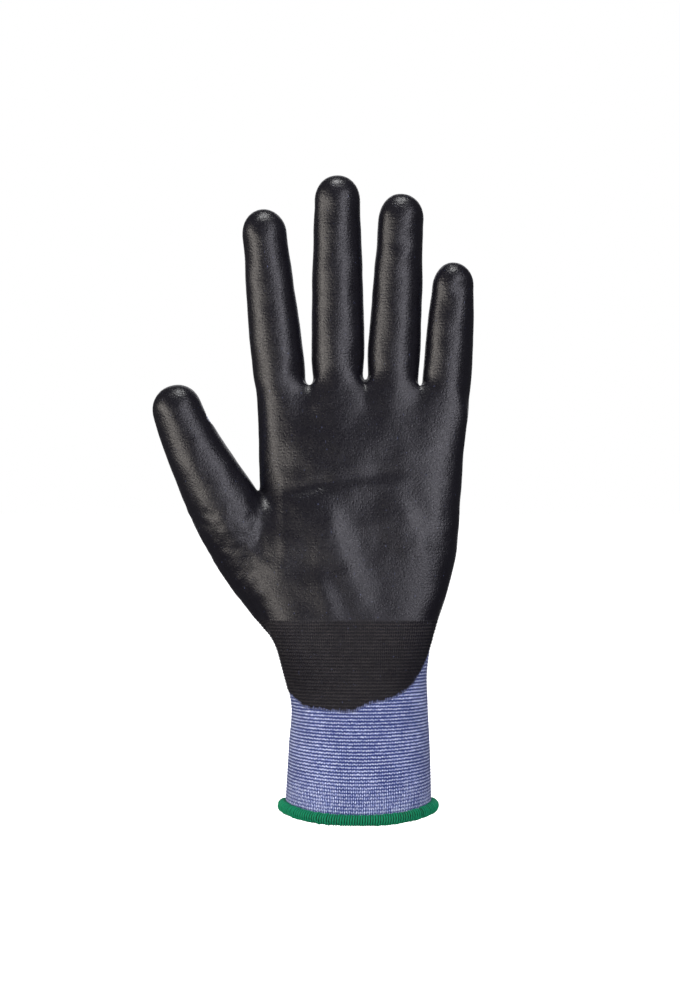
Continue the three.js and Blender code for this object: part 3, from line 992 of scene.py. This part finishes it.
class Nodes:
    """A material's node tree, with short calls to add to it."""

    def __init__(self, name):
        self.material = bpy.data.materials.new(name)
        self.material.use_nodes = True
        self.tree = self.material.node_tree
        self.shader = self.tree.nodes["Principled BSDF"]

    def add(self, kind, **settings):
        node = self.tree.nodes.new(kind)
        for key, value in settings.items():
            setattr(node, key, value)
        return node

    def feed(self, socket, value):
        """Give a socket another one's output, a colour as it is seen, or a number."""
        if isinstance(value, bpy.types.NodeSocket):
            self.tree.links.new(value, socket)
        else:
            socket.default_value = srgb(*value) if isinstance(value, tuple) else value

    def shade(self, inputs):
        for name, value in inputs.items():
            self.feed(self.shader.inputs[name], value)

    def math(self, operation, *values):
        node = self.add("ShaderNodeMath", operation=operation)
        for socket, value in zip(node.inputs, values):
            self.feed(socket, value)
        return node.outputs[0]

    def rest(self):
        return self.add("ShaderNodeAttribute", attribute_name="rest").outputs["Vector"]

    def split(self, vector):
        parts = self.add("ShaderNodeSeparateXYZ")
        self.feed(parts.inputs[0], vector)
        return parts.outputs

    def height(self):
        return self.split(self.rest())[2]

    def attribute(self, name):
        return self.add("ShaderNodeAttribute", attribute_name=name).outputs["Fac"]

    def noise(self, vector, scale, detail=2.0, roughness=0.5):
        """Noise from 0 to 1, with about that many cells to a metre."""
        node = self.add("ShaderNodeTexNoise")
        self.feed(node.inputs["Vector"], vector)
        node.inputs["Scale"].default_value = scale
        node.inputs["Detail"].default_value = detail
        node.inputs["Roughness"].default_value = roughness
        return node.outputs["Fac"]

    def span(self, value, low, high, to_low=0.0, to_high=1.0):
        node = self.add("ShaderNodeMapRange", interpolation_type="SMOOTHSTEP")
        for socket, v in zip(node.inputs, (value, low, high, to_low, to_high)):
            self.feed(socket, v)
        return node.outputs[0]

    def mix(self, share, a, b):
        node = self.add("ShaderNodeMix", data_type="RGBA")
        self.feed(node.inputs["Factor"], share)
        for socket, colour in zip(node.inputs[6:8], (a, b)):
            self.feed(socket, colour)
        return node.outputs[2]

    def bump(self, height, distance, strength=1.0):
        node = self.add("ShaderNodeBump")
        self.feed(node.inputs["Height"], height)
        node.inputs["Distance"].default_value = distance
        node.inputs["Strength"].default_value = strength
        self.shade({"Normal": node.outputs[0]})


def srgb(red, green, blue):
    """A colour given as it is seen, from 0 to 255, for a shader's socket."""
    seen = np.array([red, green, blue]) / 255
    linear = np.where(seen > 0.04, ((seen + 0.055) / 1.055) ** 2.4, seen / 12.92)
    return (*linear.tolist(), 1)


def stitch_nodes(m):
    """The knit's pattern at a point: from a dark course to a light one, and along a stitch's
    two legs. Both run from -1 to 1."""
    across, up, _ = m.split(m.add("ShaderNodeUVMap", uv_map="Stitches").outputs[0])
    wander = m.math("SUBTRACT", m.noise(m.rest(), 600, detail=3), 0.5)
    across = m.math("ADD", across, m.math("MULTIPLY", wander, 0.6))
    slant = m.math("ABSOLUTE", m.math("SUBTRACT", m.math("FRACT", across), 0.5))
    up = m.math("ADD", up, m.math("MULTIPLY", slant, 0.3))
    up = m.math("ADD", up, m.math("MULTIPLY", wander, 0.35))
    course = m.math("MULTIPLY", m.math("COSINE", m.math("MULTIPLY", up, 2 * math.pi)), -1)
    legs = m.math("COSINE", m.math("MULTIPLY", across, 4 * math.pi))
    return course, legs


def film_material():
    m = Nodes("pu_film")
    rest = m.rest()
    grain = m.noise(rest, 1500, detail=3)
    mottle = m.noise(rest, 240)
    black = m.mix(mottle, *FILM_BLACK)
    course, legs = stitch_nodes(m)
    speckle = m.math("ADD", m.math("MULTIPLY", legs, 0.3), m.noise(rest, 900))
    edge = m.span(m.attribute("film"), 2.0, 0.1, 0, 0.5)
    shows = m.span(m.math("ADD", speckle, edge), 0.95, 1.15)
    on_cuff = m.span(m.height(), (CUFF_LINE + 1) / METRE, (CUFF_LINE - 1) / METRE)
    # painted highlight in part: the cuff's film turns warm grey along the courses' crests, which
    # also stands for the film worn thin there
    crest_wear_and_highlight = m.math("MULTIPLY", m.span(course, -0.2, 1), on_cuff)
    crest_wear_and_highlight = m.math("MULTIPLY", crest_wear_and_highlight, m.span(m.noise(rest, 300, detail=3), 0.3, 0.7, 0.45, 1))
    black = m.mix(crest_wear_and_highlight, black, CREST_WEAR_AND_HIGHLIGHT)
    rough = m.span(grain, 0.3, 0.7, 0.25, 0.37)
    low, high = FILM_GLOSS_RISES
    gloss = m.span(m.height(), low / METRE, high / METRE, *FILM_GLOSS)
    m.shade(
        {
            "Base Color": m.mix(shows, black, YARN_IN_FILM),
            "Roughness": m.math("ADD", rough, m.math("MULTIPLY", on_cuff, 0.1)),
            "Specular IOR Level": m.span(on_cuff, 0, 1, gloss, CUFF_GLOSS),
        }
    )
    relief = m.math("MULTIPLY", legs, m.span(on_cuff, 0, 1, 0.02, 0.5))
    m.bump(m.math("ADD", grain, relief), 0.00016)
    return m.material


def knit_material():
    """Pairs of courses, one dark and one light. Each stitch is a V of two slanting legs."""
    m = Nodes("striped_knit")
    rest = m.rest()
    course, legs = stitch_nodes(m)
    melange = m.noise(rest, 1300, detail=3)
    patches = m.noise(rest, 90)
    uneven = m.math("MULTIPLY", m.math("SUBTRACT", m.noise(rest, 800, detail=3), 0.5), 1.2)
    near_hem = m.span(m.height(), HEM_GLOW[0] / METRE, HEM_GLOW[1] / METRE)
    on_light = m.math("ADD", m.span(course, -0.6, 1, 0.25, 0.65), m.span(near_hem, 0, 1, 0, 0.55))
    rows = m.math("MULTIPLY", course, m.span(near_hem, 0, 1, 0.85, 0.5))
    amount = m.math("ADD", rows, m.math("MULTIPLY", legs, on_light))
    amount = m.math("ADD", m.math("ADD", amount, uneven), m.span(patches, 0.35, 0.65, -0.15, 0.15))
    light = m.span(amount, -0.25, 0.95)
    dark_yarn = m.mix(melange, *DARK_YARN)
    light_yarn = m.mix(m.span(melange, 0.35, 0.65), *LIGHT_YARN)
    colour = m.mix(light, dark_yarn, light_yarn)
    m.shade({"Base Color": colour, "Roughness": 0.85})
    m.shade({"Specular IOR Level": 0.25, "Sheen Weight": 0.1})
    height = m.math("ADD", m.math("MULTIPLY", legs, 0.35), m.math("MULTIPLY", melange, 0.7))
    m.bump(height, 0.00022)
    return m.material


def thread_material():
    m = Nodes("green_thread")
    rest = m.rest()
    fibres = m.noise(rest, 2200, detail=3)
    lit = m.mix(fibres, *GREEN_THREAD)
    # painted shade: the thread darkens where it lies deep, between its wraps and on the core
    groove_shade = m.span(m.attribute("depth"), -0.1, 0.25)
    colour = m.mix(groove_shade, GROOVE_SHADE_GREEN, lit)
    m.shade({"Base Color": colour, "Roughness": 0.6, "Specular IOR Level": 0.2})
    m.bump(fibres, 0.00008)
    return m.material


def elastic_material():
    m = Nodes("covered_rubber")
    rest = m.rest()
    cover = m.noise(rest, 1800, detail=2)
    m.shade({"Base Color": m.mix(cover, *YARN_COVER), "Roughness": 0.75})
    m.bump(cover, 0.0001)
    return m.material


# ---- floor, light and camera ----


def build_floor():
    bpy.ops.mesh.primitive_plane_add(size=60, location=(0, 0, FLOOR))
    floor = bpy.context.object
    floor.name = "floor"
    m = Nodes("pale_floor")
    m.shade({"Base Color": (250, 250, 250), "Roughness": 0.9})
    m.shade({"Emission Color": (255, 255, 255), "Emission Strength": 0.9})
    floor.data.materials.append(m.material)
    floor.visible_glossy = False
    floor.visible_diffuse = False
    floor.visible_shadow = False


def surroundings():
    """White to the camera, grey to matt surfaces and dark to shiny ones."""
    world = bpy.data.worlds.new("studio")
    bpy.context.scene.world = world
    world.use_nodes = True
    tree = world.node_tree
    path = tree.nodes.new("ShaderNodeLightPath")
    shade = tree.nodes["Background"].outputs[0]
    tree.nodes["Background"].inputs[0].default_value = (1, 1, 1, 1)
    tree.nodes["Background"].inputs[1].default_value = BOUNCE
    dark = ("Is Glossy Ray", (0.93, 0.91, 1, 1), DARK_STUDIO)
    white = ("Is Camera Ray", (1, 1, 1, 1), 1.0)
    for ray, colour, strength in (dark, white):
        seen = tree.nodes.new("ShaderNodeBackground")
        seen.inputs[0].default_value = colour
        seen.inputs[1].default_value = strength
        either = tree.nodes.new("ShaderNodeMixShader")
        tree.links.new(path.outputs[ray], either.inputs[0])
        tree.links.new(shade, either.inputs[1])
        tree.links.new(seen.outputs[0], either.inputs[2])
        shade = either.outputs[0]
    tree.links.new(shade, tree.nodes["World Output"].inputs[0])


def softbox(name, azimuth, elevation, distance, width, height, power, colour):
    """A softbox that faces the glove. Azimuth is counted from the camera, to its right."""
    a, e = math.radians(azimuth), math.radians(elevation)
    way = Vector((math.sin(a) * math.cos(e), -math.cos(a) * math.cos(e), math.sin(e)))
    data = bpy.data.lights.new(name, "AREA")
    data.shape = "RECTANGLE"
    data.size, data.size_y = width, height
    data.energy = power
    data.color = colour
    lamp = bpy.data.objects.new(name, data)
    lamp.location = AIM + way * distance
    lamp.rotation_euler = (-way).to_track_quat("-Z", "Z").to_euler()
    lamp.visible_camera = False
    bpy.context.collection.objects.link(lamp)


def lights():
    # name, azimuth, elevation, distance, width, height, power, colour
    softbox("warm_side", -55, -2, 1.1, 0.42, 1.6, 11.5, (1, 0.93, 0.86))
    softbox("cool_front", 26, 10, 1.2, 0.38, 1.5, 9, (0.92, 0.9, 1))
    softbox("top", 0, 78, 0.9, 0.28, 0.3, 3.6, (1, 1, 1))
    softbox("rear", 180, 15, 1.2, 0.9, 1.2, 3.5, (0.97, 0.97, 1))


def camera():
    data = bpy.data.cameras.new("camera")
    data.sensor_fit = "VERTICAL"
    data.lens = data.sensor_height * VIEW_DISTANCE / VIEW_HEIGHT
    made = bpy.data.objects.new("camera", data)
    made.location = (VIEW_CENTRE[0], -VIEW_DISTANCE, VIEW_CENTRE[1])
    made.rotation_euler = (math.radians(90), 0, 0)
    bpy.context.collection.objects.link(made)
    bpy.context.scene.camera = made


MATERIALS = {
    "pu_coating": film_material(),
    "knit_liner": knit_material(),
    "overlock_thread": thread_material(),
    "elastic_yarn": elastic_material(),
}
build_glove(detailed(described(meshed(CELL, 0))), inner_surface(), MATERIALS)
build_hem(MATERIALS["overlock_thread"])
build_elastic(MATERIALS["elastic_yarn"])
build_floor()
surroundings()
lights()
camera()
bpy.context.scene.view_settings.view_transform = "Standard"
